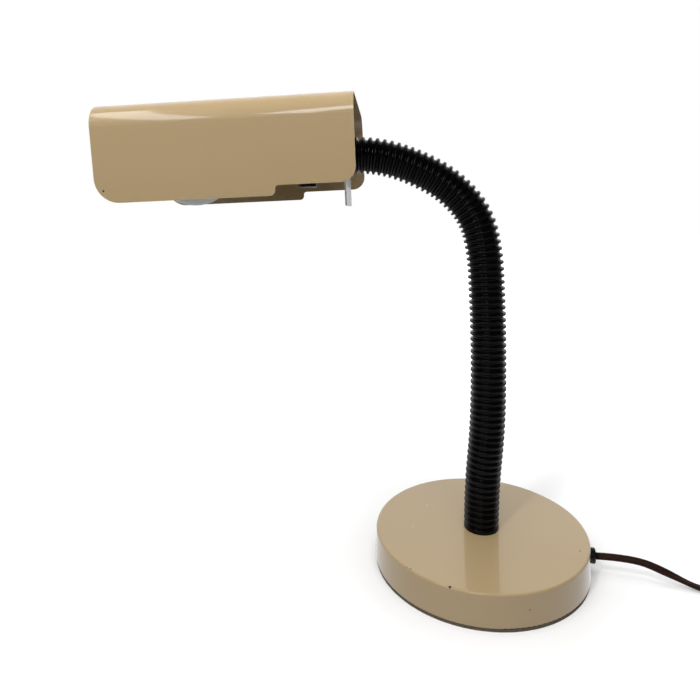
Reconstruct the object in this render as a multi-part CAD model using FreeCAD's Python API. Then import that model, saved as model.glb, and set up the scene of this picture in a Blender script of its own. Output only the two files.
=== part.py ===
import math
import os

from FreeCAD import Placement, Rotation, Vector
import Part

# Gooseneck desk lamp in millimetres. Z is up, the shade points towards -X, and the origin is the
# middle of the base's underside.

# Base
BASE_RADIUS = 103.0
BASE_DRAFT = 0.9
BASE_HEIGHT = 32.8
COVER_WALL = 1.2
COVER_EDGE_RADIUS = 2.0
RIM_LIP = 7.0
PAD_THICKNESS = 2.7
PAD_INSET = 0.5
WEIGHT_THICKNESS = 10.5
WEIGHT_CLEARANCE = 0.3
WEIGHT_NOTCH_LENGTH = 10.0
WEIGHT_NOTCH_MARGIN = 0.8
PILLAR_RADIUS = 7.0
PILLAR_DRAFT = 2.0
PILLAR_CIRCLE = 62.0
PILLAR_COUNT = 3
PILLAR_FIRST_ANGLE = 60.0

# Neck: rigid lengths of sleeve and conduit, hinged end to end
NECK_X = 2.0
RING_PITCH = 6.05
RINGS_PER_LENGTH = 6
LAST_LENGTH_RINGS = 7
NECK_TURNS = [-2, -3, 3, 2, 1, 1.5, 0.5, 10, 28, 19, 11.5]
RING_RADIUS = 17.0
VALLEY_RADIUS = 13.5
CREST_WIDTH = 1.3
VALLEY_WIDTH = 2.5
JOINT_GAP = 3.2
SLEEVE_BORE = 12.1
CONDUIT_RADIUS = 11.6
CONDUIT_BORE = 8.0
BALL_RADIUS = 10.9
BALL_CLEARANCE = 0.06
BALL_DEPTH = 6.0

# Fittings at both ends of the neck
STUD_RADIUS = 6.6
STUD_BORE = 4.0
STUD_CLEARANCE = 0.1
FOOT_SHOULDER = 3.0
PLUG_CLEARANCE = 0.2
FOOT_PLUG_LENGTH = 12.0
TOP_PLUG_LENGTH = 6.0
COLLAR_RADIUS = 14.5
COLLAR_LENGTH = 5.4
WASHER_RADIUS = 11.0
WASHER_THICKNESS = 0.8
NUT_FLATS = 18.0
NUT_THICKNESS = 3.3
NUT_CHAMFER = 0.8

# Cord
CORD_RADIUS = 3.1
CORD_EXIT_HEIGHT = 19.5
CORD_EXIT_ANGLE = -13.0
LEAD_BEND = 9.0
LEAD_LINE_START = 61.0
LEAD_LINE_RADIUS = 200.0
RUN_START = 33.0
BUSH_RADIUS = 7.8
BUSH_LENGTH = 4.1
BUSH_NECK_RADIUS = 5.9
BUSH_INNER_RADIUS = 7.2
BUSH_INNER_LENGTH = 5.0
BUSH_CLEARANCE = 0.1
TIE_THICKNESS = 0.6
TIE_WIDTH = 8.0
TIE_CLEARANCE = 0.2
TIE_ANGLE = -100.0
TIE_SLACK = 0.5
TIE_ROUNDING = 3.0
COIL_RADIUS = 51.6
COIL_PITCH = 7.0
COIL_LAYER = 7.0
COIL_QUARTERS_IN = 13
COIL_QUARTERS = 25
CLIMB_TURNS = 0.5
TAIL_RUNS = (16.0, 20.0, 18.0)
PLUG_LENGTH = 27.0
PLUG_WIDTH = 25.0
PLUG_TAIL_WIDTH = 11.0
PLUG_HEIGHT = 15.0
PLUG_ROUNDING = 3.0
PLUG_TAPER_LENGTH = 12.0
BLADE_LENGTH = 17.5
BLADE_HEIGHT = 6.3
BLADE_THICKNESS = 1.5
BLADE_SPACING = 12.7
BLADE_CHAMFER_LENGTH = 1.5
BLADE_CHAMFER_DEPTH = 0.5

# Shade and its bracket
SHADE_LENGTH = 219.4
SHADE_WIDTH = 157.0
SHADE_HEIGHT = 83.0
SHADE_WALL = 0.9
SHADE_BEND = 20.0
SHADE_TILT = 1.46
TIP_CORNER = 21.0
NECK_CORNER = 13.0
NOTCH_LENGTH = 66.8
NOTCH_RISE = 8.4
NOTCH_INNER_CORNER = 3.0
NOTCH_OUTER_CORNER = 4.5
BRACKET_INSET = 12.0
BRACKET_WIDTH = 64.0
BRACKET_THICKNESS = 1.5
BRACKET_BEND = 3.0
BRACKET_FLANGE = 24.0
BRACKET_DROP = 10.0
BRACKET_CORNER = 3.0
AXIS_HEIGHT = 36.6
RIVET_SPACING = 40.0
RIVET_RADIUS = 1.6
RIVET_HEAD_RADIUS = 3.2
RIVET_HEAD_HEIGHT = 1.2
RIVET_HEAD_ROUNDING = 1.1
RIVET_TAIL_RADIUS = 2.6
RIVET_TAIL_HEIGHT = 1.0
RIVET_SETBACK = 13.0
RIVET_CLEARANCE = 0.02

# Socket and switch, measured along the shade from the bracket's neck side
SOCKET_START = 17.0
CAP_LENGTH = 16.0
CAP_RADIUS = 17.5
CAP_WALL = 1.0
CAP_HUB = 4.0
CAP_HUB_WALL = 3.0
CAP_SHOULDER = 6.0
CAP_ROUNDING = 3.0
CAP_OVERLAP = 4.0
SHELL_RADIUS = 18.4
SHELL_WALL = 0.8
SHELL_END = 99.0
SHELL_BEAD = 0.7
SHELL_BEAD_LENGTH = 1.0
LINER_RADIUS = 17.2
LINER_WALL = 0.9
LINER_SETBACK = 1.5
CORE_START = 34.0
CORE_LENGTH = 26.0
CORE_RADIUS = 16.0
CHANNEL_WIDTH = 5.0
CHANNEL_DEPTH = 3.0
SCREW_SHELL_RADIUS = 14.0
SCREW_SHELL_WALL = 0.5
SCREW_SHELL_LENGTH = 36.0
SCREW_SHELL_LIP = 5.0
CONTACT_WIDTH = 5.0
CONTACT_THICKNESS = 0.5
CONTACT_FOOT = 6.0
CONTACT_HEEL = 2.0
CONTACT_KNEE = 5.0
CONTACT_TIP = 4.0
CONTACT_INSET = 2.0
SHAFT_AT = 38.9
SHAFT_RADIUS = 2.0
SHAFT_START = 4.0
SHAFT_FIT = 0.05
SHAFT_HOLE = 3.0
KNOB_RADIUS = 8.8
KNOB_START = 19.6
KNOB_LENGTH = 7.9
KNOB_ROUNDING = 1.2
KNOB_DISH_RADIUS = 5.3
KNOB_DISH_DEPTH = 0.5
KNOB_DEPTH = 5.0
KNOB_FLUTES = 16
KNOB_FLUTE_RADIUS = 0.9
KNOB_FLUTE_DEPTH = 0.55
KNOB_FLUTE_STOP = 1.4

# Bulb
BULB_CENTRE = 148.0
BULB_RADIUS = 39.5
BULB_NECK_RADIUS = 13.4
BULB_NECK_BLEND = 18.0
GLASS_WALL = 0.8
BULB_BASE_RADIUS = 13.1
BULB_BASE_START = 76.0
BULB_BASE_END = 98.0
BULB_CONTACT_START = 72.5
BULB_CONTACT_RADIUS = 4.5
BULB_INSULATOR_RADIUS = 9.1
BULB_COLLAR = 2.0
THREAD_PITCH = 3.6
THREAD_DEPTH = 0.7
THREAD_ROUNDING = 0.8
THREAD_TURNS = 5

# Edge roundings that many pieces share, how far a cutting solid stands proud, and what an arc of
# a route takes of the shorter run beside it
FINE_EDGE = 0.4
SMALL_EDGE = 1.0
LARGE_EDGE = 2.0
MARGIN = 1.0
ARC_SHARE = 0.45
TINY = 1e-6

UP = Vector(0, 0, 1)
LENGTHS = len(NECK_TURNS) + 1
FLOOR = CORD_RADIUS + TIE_THICKNESS + TIE_CLEARANCE


# Outlines and basic solids
def rounded(corners):
    """A closed face through (x, z, radius) corners in the XZ plane, each rounded to its radius."""
    spots = [Vector(c[0], 0, c[1]) for c in corners]
    starts, ends, middles = [], [], []
    for i, spot in enumerate(spots):
        radius = corners[i][2] if len(corners[i]) > 2 else 0
        back = (spots[i - 1] - spot).normalize()
        ahead = (spots[(i + 1) % len(spots)] - spot).normalize()
        half = back.getAngle(ahead) / 2
        reach = radius / math.tan(half)
        starts.append(spot + back * reach)
        ends.append(spot + ahead * reach)
        inward = (back + ahead).normalize()
        middles.append(spot + inward * (radius / math.sin(half) - radius))
    edges = []
    for i, spot in enumerate(spots):
        if (ends[i - 1] - starts[i]).Length > TINY:
            edges.append(Part.LineSegment(ends[i - 1], starts[i]).toShape())
        if (starts[i] - ends[i]).Length > TINY:
            edges.append(Part.Arc(starts[i], middles[i], ends[i]).toShape())
    return Part.Face(Part.Wire(edges))


def turned(corners):
    """A solid turned about the Z axis from (radius, z) corners."""
    return rounded(corners).revolve(Vector(), UP, 360)


def disc(radius, bottom, top):
    return Part.makeCylinder(radius, top - bottom, Vector(0, 0, bottom))


def ring(inner, outer, bottom, top):
    return turned([(inner, bottom), (outer, bottom), (outer, top), (inner, top)])


def hex_nut(flats, bore, bottom, top):
    across = flats / 2 / math.cos(math.pi / 6)
    spots = [Vector(across * math.cos(k * math.pi / 3), across * math.sin(k * math.pi / 3), bottom)
             for k in range(7)]
    prism = Part.Face(Part.makePolygon(spots)).extrude(UP * (top - bottom))
    crown = turned([(0, bottom), (across + MARGIN, bottom), (across + MARGIN, top - NUT_CHAMFER),
                    (flats / 2, top), (0, top)])
    return prism.common(crown).cut(disc(bore, bottom - MARGIN, top + MARGIN))


def placed(shape, placement):
    copy = shape.copy()
    copy.Placement = placement.multiply(copy.Placement)
    return copy


def moved(shape, x=0.0, y=0.0, z=0.0):
    return placed(shape, Placement(Vector(x, y, z), Rotation()))


# Tubes along runs joined by tangent arcs
def route_wire(points, radii=None):
    """Straight runs with a tangent arc at each inner point, and the radii of the arcs."""
    edges, used, last = [], [], points[0]
    for i in range(1, len(points) - 1):
        back, ahead = points[i - 1] - points[i], points[i + 1] - points[i]
        turn = math.pi - back.getAngle(ahead)
        shorter = min(back.Length, ahead.Length)
        radius = radii[i - 1] if radii else ARC_SHARE * shorter / math.tan(turn / 2)
        reach = radius * math.tan(turn / 2)
        start = points[i] + back.normalize() * reach
        end = points[i] + ahead.normalize() * reach
        inward = (back + ahead).normalize()
        middle = points[i] + inward * (radius / math.cos(turn / 2) - radius)
        edges += [Part.LineSegment(last, start).toShape(), Part.Arc(start, middle, end).toShape()]
        used.append(round(radius, 1))
        last = end
    edges.append(Part.LineSegment(last, points[-1]).toShape())
    return Part.Wire(edges), used


def tube(wire, radius):
    first = wire.OrderedEdges[0]
    start = first.valueAt(first.FirstParameter)
    ahead = first.tangentAt(first.FirstParameter)
    profile = Part.Wire(Part.Circle(start, ahead, radius).toShape())
    return wire.makePipeShell([profile], True, False)


# Neck
def neck_lengths():
    """Each rigid length's start, its first heading from the vertical, its turn and its arc length."""
    turns = NECK_TURNS + [90 + SHADE_TILT - sum(NECK_TURNS)]
    spot, heading, found = Vector(NECK_X, 0, BASE_HEIGHT), 0.0, []
    for number, turn in enumerate(turns, 1):
        rings = LAST_LENGTH_RINGS if number == LENGTHS else RINGS_PER_LENGTH
        found.append((spot, math.radians(heading), math.radians(turn), rings))
        spot = on_arc(found[-1], rings * RING_PITCH)[0]
        heading += turn
    return found


def on_arc(length, along):
    """The centre line's point and heading at a distance along a rigid length."""
    start, heading, turn, rings = length
    curve = turn / (rings * RING_PITCH)
    now = heading + curve * along
    x = start.x + (math.cos(now) - math.cos(heading)) / curve
    z = start.z + (math.sin(now) - math.sin(heading)) / curve
    return Vector(x, 0, z), now


def at_arc(length, along):
    """A placement on the centre line with Z along it and the ring's first point towards +Y."""
    spot, heading = on_arc(length, along)
    lean = Rotation(Vector(0, 1, 0), -math.degrees(heading))
    return Placement(spot, lean.multiply(Rotation(UP, 90)))


def neck_rod(length, radius, start, end):
    """A round rod that follows a length's arc."""
    turn = length[2] / (length[3] * RING_PITCH)
    spot, heading = on_arc(length, start)
    face = Part.Face(Part.Wire(placed(Part.Circle(Vector(), UP, radius).toShape(),
                                      at_arc(length, start))))
    middle = spot + Vector(-math.cos(heading), 0, -math.sin(heading)) * (1 / turn)
    axis = Vector(0, -1, 0) if turn > 0 else Vector(0, 1, 0)
    return face.revolve(middle, axis, math.degrees(abs(turn) * (end - start)))


def sleeve(number, length):
    """The ribbed sleeve of one length: four circles to a ring, joined by a ruled loft."""
    rings = length[3]
    flank = (RING_PITCH - CREST_WIDTH - VALLEY_WIDTH) / 2
    circles = []
    for k in range(rings):
        foot = k * RING_PITCH + VALLEY_WIDTH / 2
        crest = foot + flank
        circles += [(VALLEY_RADIUS, foot), (RING_RADIUS, crest),
                    (RING_RADIUS, crest + CREST_WIDTH), (VALLEY_RADIUS, crest + CREST_WIDTH + flank)]
    first = 0.0 if number == 1 else JOINT_GAP / 2
    last = rings * RING_PITCH - (0.0 if number == LENGTHS else JOINT_GAP / 2)
    circles[0] = (VALLEY_RADIUS, first)
    circles[-1] = (VALLEY_RADIUS, last)
    wires = [Part.Wire(placed(Part.Circle(Vector(), UP, radius).toShape(), at_arc(length, along)))
             for radius, along in circles]
    ribs = Part.makeLoft(wires, True, True)
    return ribs.cut(neck_rod(length, SLEEVE_BORE, first - MARGIN, last + MARGIN))


def conduit(number, length):
    """One length of the conduit: a ball at its lower end sits in a cup in the length below."""
    full = length[3] * RING_PITCH
    first = FOOT_SHOULDER if number == 1 else JOINT_GAP / 2
    last = full if number == LENGTHS else full - JOINT_GAP / 2
    body = neck_rod(length, CONDUIT_RADIUS, first, last)
    if number > 1:
        ball = Part.makeSphere(BALL_RADIUS)
        band = disc(CONDUIT_RADIUS, -BALL_DEPTH, first + MARGIN)
        body = body.fuse(placed(ball.common(band), at_arc(length, 0))).removeSplitter()
    if number < LENGTHS:
        cup = placed(Part.makeSphere(BALL_RADIUS + BALL_CLEARANCE), at_arc(length, full))
        body = body.cut(cup)
    return body.cut(neck_rod(length, CONDUIT_BORE, -BALL_DEPTH - MARGIN, full + MARGIN))


NECK = neck_lengths()
NECK_END, NECK_END_HEADING = on_arc(NECK[-1], LAST_LENGTH_RINGS * RING_PITCH)


# The base's side, and the cord's exit line from the base's axis outwards
def wall_radius(height):
    """The cover's outer radius at a height, less towards the top."""
    return BASE_RADIUS - BASE_DRAFT * (height - PAD_THICKNESS) / (BASE_HEIGHT - PAD_THICKNESS)


def at_exit(shape):
    """Places a shape made about Z, with z=0 at the base's axis, on the exit line."""
    aim = Rotation(UP, CORD_EXIT_ANGLE).multiply(Rotation(Vector(0, 1, 0), 90))
    return placed(shape, Placement(Vector(0, 0, CORD_EXIT_HEIGHT), aim))


def on_exit_line(distance):
    angle = math.radians(CORD_EXIT_ANGLE)
    return Vector(distance * math.cos(angle), distance * math.sin(angle), CORD_EXIT_HEIGHT)


EXIT_RADIUS = wall_radius(CORD_EXIT_HEIGHT) + BUSH_LENGTH


# Base
def base_pad():
    return disc(BASE_RADIUS - PAD_INSET, 0, PAD_THICKNESS)


def base_cover():
    """A pressed steel pan whose bottom rim is rolled in under the weight."""
    inside = BASE_RADIUS - COVER_WALL
    lip = inside - RIM_LIP
    lip_top = PAD_THICKNESS + COVER_WALL
    under = BASE_HEIGHT - COVER_WALL
    inside_top = wall_radius(under) - COVER_WALL
    pan = turned([(lip, PAD_THICKNESS), (BASE_RADIUS, PAD_THICKNESS, COVER_WALL),
                  (wall_radius(BASE_HEIGHT), BASE_HEIGHT, COVER_EDGE_RADIUS), (0, BASE_HEIGHT),
                  (0, under), (inside_top, under, COVER_EDGE_RADIUS - COVER_WALL),
                  (inside, lip_top), (lip, lip_top)])
    neck_hole = disc(STUD_RADIUS + STUD_CLEARANCE, under - MARGIN, BASE_HEIGHT + MARGIN)
    bush_hole = disc(BUSH_NECK_RADIUS + BUSH_CLEARANCE, inside - MARGIN, BASE_RADIUS + MARGIN)
    return pan.cut(moved(neck_hole, NECK_X)).cut(at_exit(bush_hole))


def base_weight():
    """A cast disc on the cover's rolled rim, held down by pillars that reach the cover's top."""
    bottom = PAD_THICKNESS + COVER_WALL
    under = BASE_HEIGHT - COVER_WALL
    top = bottom + WEIGHT_THICKNESS
    radius = wall_radius(top) - COVER_WALL - WEIGHT_CLEARANCE
    weight = turned([(0, bottom), (radius, bottom, SMALL_EDGE), (radius, top, LARGE_EDGE), (0, top)])
    for k in range(PILLAR_COUNT):
        angle = math.radians(PILLAR_FIRST_ANGLE + 360 * k / PILLAR_COUNT)
        foot = bottom + WEIGHT_THICKNESS / 2
        pillar = turned([(0, foot), (PILLAR_RADIUS + PILLAR_DRAFT, foot), (PILLAR_RADIUS, under),
                         (0, under)])
        weight = weight.fuse(moved(pillar, PILLAR_CIRCLE * math.cos(angle),
                                   PILLAR_CIRCLE * math.sin(angle)))
    notch = disc(BUSH_INNER_RADIUS + WEIGHT_NOTCH_MARGIN, radius - WEIGHT_NOTCH_LENGTH,
                 radius + MARGIN)
    return weight.removeSplitter().cut(at_exit(notch))


def fitting(shoulder_radius, shoulder, plug_length, stud_length):
    """A hollow end fitting: plug below the shoulder's bottom at z=0, stud above its top."""
    plug_radius = CONDUIT_BORE - PLUG_CLEARANCE
    end = shoulder + stud_length
    return turned([(STUD_BORE, -plug_length), (plug_radius, -plug_length, FINE_EDGE), (plug_radius, 0),
                   (shoulder_radius, 0, FINE_EDGE), (shoulder_radius, shoulder, FINE_EDGE),
                   (STUD_RADIUS, shoulder), (STUD_RADIUS, end, FINE_EDGE), (STUD_BORE, end)])


def neck_foot():
    length = COVER_WALL + WASHER_THICKNESS + NUT_THICKNESS
    upside_down = Placement(Vector(NECK_X, 0, BASE_HEIGHT + FOOT_SHOULDER),
                            Rotation(Vector(1, 0, 0), 180))
    return placed(fitting(CONDUIT_RADIUS, FOOT_SHOULDER, FOOT_PLUG_LENGTH, length), upside_down)


def foot_washer():
    top = BASE_HEIGHT - COVER_WALL
    return moved(ring(STUD_RADIUS + STUD_CLEARANCE, WASHER_RADIUS, top - WASHER_THICKNESS, top), NECK_X)


def foot_nut():
    top = BASE_HEIGHT - COVER_WALL - WASHER_THICKNESS
    nut = hex_nut(NUT_FLATS, STUD_RADIUS + STUD_CLEARANCE / 2, 0, NUT_THICKNESS)
    return placed(nut, Placement(Vector(NECK_X, 0, top), Rotation(Vector(1, 0, 0), 180)))


# Cord, from the base's side to its plug
def strain_relief():
    """A bush with a flange inside the cover and one outside that follows the cover's side."""
    inside = wall_radius(CORD_EXIT_HEIGHT + BUSH_INNER_RADIUS) - COVER_WALL
    inner_end = math.sqrt(inside ** 2 - BUSH_INNER_RADIUS ** 2) - BUSH_CLEARANCE
    back = inner_end - BUSH_INNER_LENGTH
    bore = CORD_RADIUS + BUSH_CLEARANCE
    seat = EXIT_RADIUS - BUSH_LENGTH
    inner = turned([(bore, back), (BUSH_INNER_RADIUS, back, SMALL_EDGE),
                    (BUSH_INNER_RADIUS, inner_end), (BUSH_NECK_RADIUS, inner_end),
                    (BUSH_NECK_RADIUS, seat), (bore, seat)])
    flange = turned([(bore, seat - MARGIN), (BUSH_RADIUS, seat - MARGIN),
                     (BUSH_RADIUS, EXIT_RADIUS, LARGE_EDGE), (bore, EXIT_RADIUS)])
    cover_form = turned([(0, PAD_THICKNESS), (BASE_RADIUS, PAD_THICKNESS),
                         (wall_radius(BASE_HEIGHT), BASE_HEIGHT), (0, BASE_HEIGHT)])
    outer = at_exit(flange).cut(cover_form)
    return outer.fuse(at_exit(inner)).removeSplitter()


def base_lead():
    """The lead from the cord's exit to the neck, inside the base."""
    end = on_exit_line(EXIT_RADIUS)
    points = [Vector(NECK_X, 0, BASE_HEIGHT + FOOT_SHOULDER), Vector(NECK_X, 0, CORD_EXIT_HEIGHT),
              on_exit_line(LEAD_LINE_START), end]
    wire, radii = route_wire(points, [LEAD_BEND, LEAD_LINE_RADIUS])
    print("lead radii", radii)
    return tube(wire, CORD_RADIUS)


CORD_ROUTE = [
    on_exit_line(EXIT_RADIUS),
    on_exit_line(EXIT_RADIUS + RUN_START),
    Vector(163.5, -37.5, 9.5),
    Vector(190.5, -43.5, FLOOR),
    Vector(214.0, -49.5, FLOOR),
    Vector(236.0, -54.0, FLOOR),
]


def cord_run():
    wire, radii = route_wire(CORD_ROUTE)
    print("cord run radii", radii, "length", round(wire.Length, 1))
    return tube(wire, CORD_RADIUS)


def coil_node(quarter):
    """A point of the coil after so many quarter turns, and the direction there."""
    inward = quarter < COIL_QUARTERS_IN
    turns = quarter / 4
    turns_in = COIL_QUARTERS_IN / 4
    wound = turns if inward else 2 * turns_in - turns
    radius = COIL_RADIUS - COIL_PITCH * wound
    rate = 0.0 if quarter == COIL_QUARTERS_IN else (-COIL_PITCH if inward else COIL_PITCH)
    climb = min(max((turns - turns_in) / CLIMB_TURNS + 0.5, 0), 1)
    height = COIL_LAYER * climb * climb * (3 - 2 * climb)
    rise = COIL_LAYER * 6 * climb * (1 - climb) / CLIMB_TURNS
    angle = -2 * math.pi * turns
    out = Vector(math.cos(angle), math.sin(angle), 0)
    forward = Vector(math.sin(angle), -math.cos(angle), 0)
    spot = out * radius + UP * height
    heading = forward * (2 * math.pi * radius) + out * rate + UP * rise
    return spot, heading.normalize()


def tangent_arc(start, heading, end):
    """An arc that leaves start along heading and ends at end."""
    chord = end - start
    half = heading.getAngle(chord)
    along = chord.normalize()
    side = (heading - along * heading.dot(along)).normalize()
    span = (end - start).Length
    middle = (start + end) * 0.5 + side * (span / 2 * math.tan(half / 2))
    return Part.Arc(start, middle, end).toShape()


def biarc(start, first, end, last):
    """Two arcs from start along first to end along last, and the point where they meet."""
    gap = end - start
    both = first + last
    spread = 2 * (1 - first.dot(last))
    reach = (-gap.dot(both) + math.sqrt(gap.dot(both) ** 2 + spread * gap.dot(gap))) / spread
    meet = (start + end + (first - last) * reach) * 0.5
    turn = (end - last * reach - start - first * reach).normalize()
    return [tangent_arc(start, first, meet), tangent_arc(meet, turn, end)]


def coil_placement():
    """Puts the coil's first straight on the end of the run."""
    start, heading = coil_node(0)
    ahead = CORD_ROUTE[-1] - CORD_ROUTE[-2]
    swing = math.degrees(math.atan2(ahead.y, ahead.x) - math.atan2(heading.y, heading.x))
    turn = Rotation(UP, swing)
    first = CORD_ROUTE[-1] + ahead.normalize() * (2 * CORD_RADIUS)
    return Placement(first - turn.multVec(start), turn)


def coil_nodes():
    place = coil_placement()
    return [(place.multVec(spot), place.Rotation.multVec(heading))
            for spot, heading in (coil_node(q) for q in range(COIL_QUARTERS + 1))]


def coil_wire():
    nodes = coil_nodes()
    edges = [Part.LineSegment(CORD_ROUTE[-1], nodes[0][0]).toShape()]
    for (start, first), (end, last) in zip(nodes, nodes[1:]):
        edges += biarc(start, first, end, last)
    spot, heading = nodes[-1]
    edges.append(Part.LineSegment(spot, spot + heading * (2 * CORD_RADIUS)).toShape())
    return Part.Wire(edges)


def least_coil_gap(wire):
    """The least gap between turns that lie more than half a turn apart along the coil."""
    step = 2.0
    spots = wire.discretize(Distance=step)
    apart = int(math.pi * (COIL_RADIUS - COIL_PITCH * COIL_QUARTERS_IN / 4) / step)
    least = math.inf
    for i, spot in enumerate(spots):
        for other in spots[i + apart:]:
            least = min(least, spot.distanceToPoint(other))
    return least - 2 * CORD_RADIUS


def cord_coil():
    wire = coil_wire()
    solid = tube(wire, CORD_RADIUS)
    expected = math.pi * CORD_RADIUS ** 2 * wire.Length
    print("coil length", round(wire.Length, 1), "least gap", round(least_coil_gap(wire), 2),
          "volume share", round(solid.Volume / expected, 4))
    return solid


def tail_route():
    """From the coil's end down to the plug beside it."""
    spot, heading = coil_nodes()[-1]
    start = spot + heading * (2 * CORD_RADIUS)
    flat = Vector(heading.x, heading.y, 0).normalize()
    first = start + flat * TAIL_RUNS[0]
    second = first + flat * TAIL_RUNS[1]
    second.z = PLUG_HEIGHT / 2
    return [start, first, second, second + flat * TAIL_RUNS[2]], flat


def cord_tail():
    points, _ = tail_route()
    wire, radii = route_wire(points)
    print("tail radii", radii, "length", round(wire.Length, 1))
    return tube(wire, CORD_RADIUS)


def at_plug(shape):
    """Places a shape made with its cord side at the origin and its blades towards +X."""
    points, flat = tail_route()
    return placed(shape, Placement(points[-1], Rotation(UP, math.degrees(math.atan2(flat.y, flat.x)))))


def plug_body():
    outline = [Vector(0, -PLUG_TAIL_WIDTH / 2, 0), Vector(PLUG_TAPER_LENGTH, -PLUG_WIDTH / 2, 0),
               Vector(PLUG_LENGTH, -PLUG_WIDTH / 2, 0), Vector(PLUG_LENGTH, PLUG_WIDTH / 2, 0),
               Vector(PLUG_TAPER_LENGTH, PLUG_WIDTH / 2, 0), Vector(0, PLUG_TAIL_WIDTH / 2, 0)]
    face = Part.Face(Part.makePolygon(outline + outline[:1]))
    block = moved(face.extrude(UP * PLUG_HEIGHT), 0, 0, -PLUG_HEIGHT / 2)
    return at_plug(block.makeFillet(PLUG_ROUNDING, block.Edges))


def plug_blades():
    blades = []
    for side in (-1, 1):
        blade = Part.makeBox(BLADE_LENGTH, BLADE_THICKNESS, BLADE_HEIGHT,
                             Vector(PLUG_LENGTH, side * BLADE_SPACING / 2 - BLADE_THICKNESS / 2,
                                    -BLADE_HEIGHT / 2))
        tips = [e for e in blade.Edges if all(v.X > PLUG_LENGTH + MARGIN for v in e.Vertexes)
                and abs(e.Vertexes[0].Z - e.Vertexes[1].Z) < TINY]
        blades.append(blade.makeChamfer(BLADE_CHAMFER_LENGTH, BLADE_CHAMFER_DEPTH, tips))
    return at_plug(Part.makeCompound(blades))


def cord_tie():
    """A flat strap round the coil's turns, across the coil from where the cord comes in."""
    inner = COIL_RADIUS - COIL_PITCH * COIL_QUARTERS_IN / 4 - CORD_RADIUS - TIE_SLACK
    outer = COIL_RADIUS + CORD_RADIUS + TIE_SLACK
    low = FLOOR - CORD_RADIUS - TIE_CLEARANCE
    high = FLOOR + COIL_LAYER + CORD_RADIUS + TIE_CLEARANCE
    grow = TIE_THICKNESS
    bend = TIE_ROUNDING - grow
    strap = rounded([(inner - grow, low - grow, TIE_ROUNDING), (outer + grow, low - grow, TIE_ROUNDING),
                     (outer + grow, high + grow, TIE_ROUNDING),
                     (inner - grow, high + grow, TIE_ROUNDING)])
    hole = rounded([(inner, low, bend), (outer, low, bend), (outer, high, bend), (inner, high, bend)])
    band = moved(strap.cut(hole).extrude(Vector(0, TIE_WIDTH, 0)), 0, -TIE_WIDTH / 2)
    place = coil_placement()
    swing = Placement(Vector(place.Base.x, place.Base.y, 0), Rotation(UP, TIE_ANGLE))
    return placed(band, swing)


# Head: the frame of the shade has its origin at the neck end of the lower edge's line
def at_head(shape):
    tilt = Rotation(Vector(0, 1, 0), -SHADE_TILT)
    plate = NECK_END + Vector(-math.sin(NECK_END_HEADING), 0, math.cos(NECK_END_HEADING)) * COLLAR_LENGTH
    offset = Placement(Vector(BRACKET_INSET, 0, -AXIS_HEIGHT), Rotation())
    return placed(shape, Placement(plate, tilt).multiply(offset))


def on_axis(shape):
    """Places a shape made about Z, with z=0 at the bracket's neck side, along the socket's axis."""
    aim = Placement(Vector(-BRACKET_INSET, 0, AXIS_HEIGHT), Rotation(Vector(0, 1, 0), -90))
    return at_head(placed(shape, aim))


def on_shaft(shape):
    """Places a shape made about Z, from the socket's axis outwards, on the switch's axis."""
    aim = Placement(Vector(-BRACKET_INSET - SHAFT_AT, 0, AXIS_HEIGHT), Rotation(Vector(1, 0, 0), 180))
    return at_head(placed(shape, aim))


def rivet_spots():
    x = -BRACKET_INSET - RIVET_SETBACK
    return [(x, side * RIVET_SPACING / 2) for side in (-1, 1)]


def shade():
    """Folded sheet: a bent section, cut to the side panels' outline."""
    half, high, wall = SHADE_WIDTH / 2, SHADE_HEIGHT, SHADE_WALL
    section = rounded([(-half, -BRACKET_DROP), (-half, high, SHADE_BEND), (half, high, SHADE_BEND),
                       (half, -BRACKET_DROP), (half - wall, -BRACKET_DROP),
                       (half - wall, high - wall, SHADE_BEND - wall),
                       (wall - half, high - wall, SHADE_BEND - wall), (wall - half, -BRACKET_DROP)])
    bent = placed(section.extrude(Vector(0, SHADE_LENGTH, 0)),
                  Placement(Vector(), Rotation(UP, 90)))
    outline = rounded([(0, high + MARGIN), (0, NOTCH_RISE, NECK_CORNER),
                       (-NOTCH_LENGTH, NOTCH_RISE, NOTCH_INNER_CORNER),
                       (-NOTCH_LENGTH, 0, NOTCH_OUTER_CORNER), (-SHADE_LENGTH, 0, TIP_CORNER),
                       (-SHADE_LENGTH, high + MARGIN)])
    block = moved(outline.extrude(Vector(0, SHADE_WIDTH + 2 * MARGIN, 0)), 0, -half - MARGIN)
    folded = bent.common(block)
    for x, y in rivet_spots():
        hole = disc(RIVET_RADIUS + RIVET_CLEARANCE, high - wall - MARGIN, high + MARGIN)
        folded = folded.cut(moved(hole, x, y))
    return at_head(folded)


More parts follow.
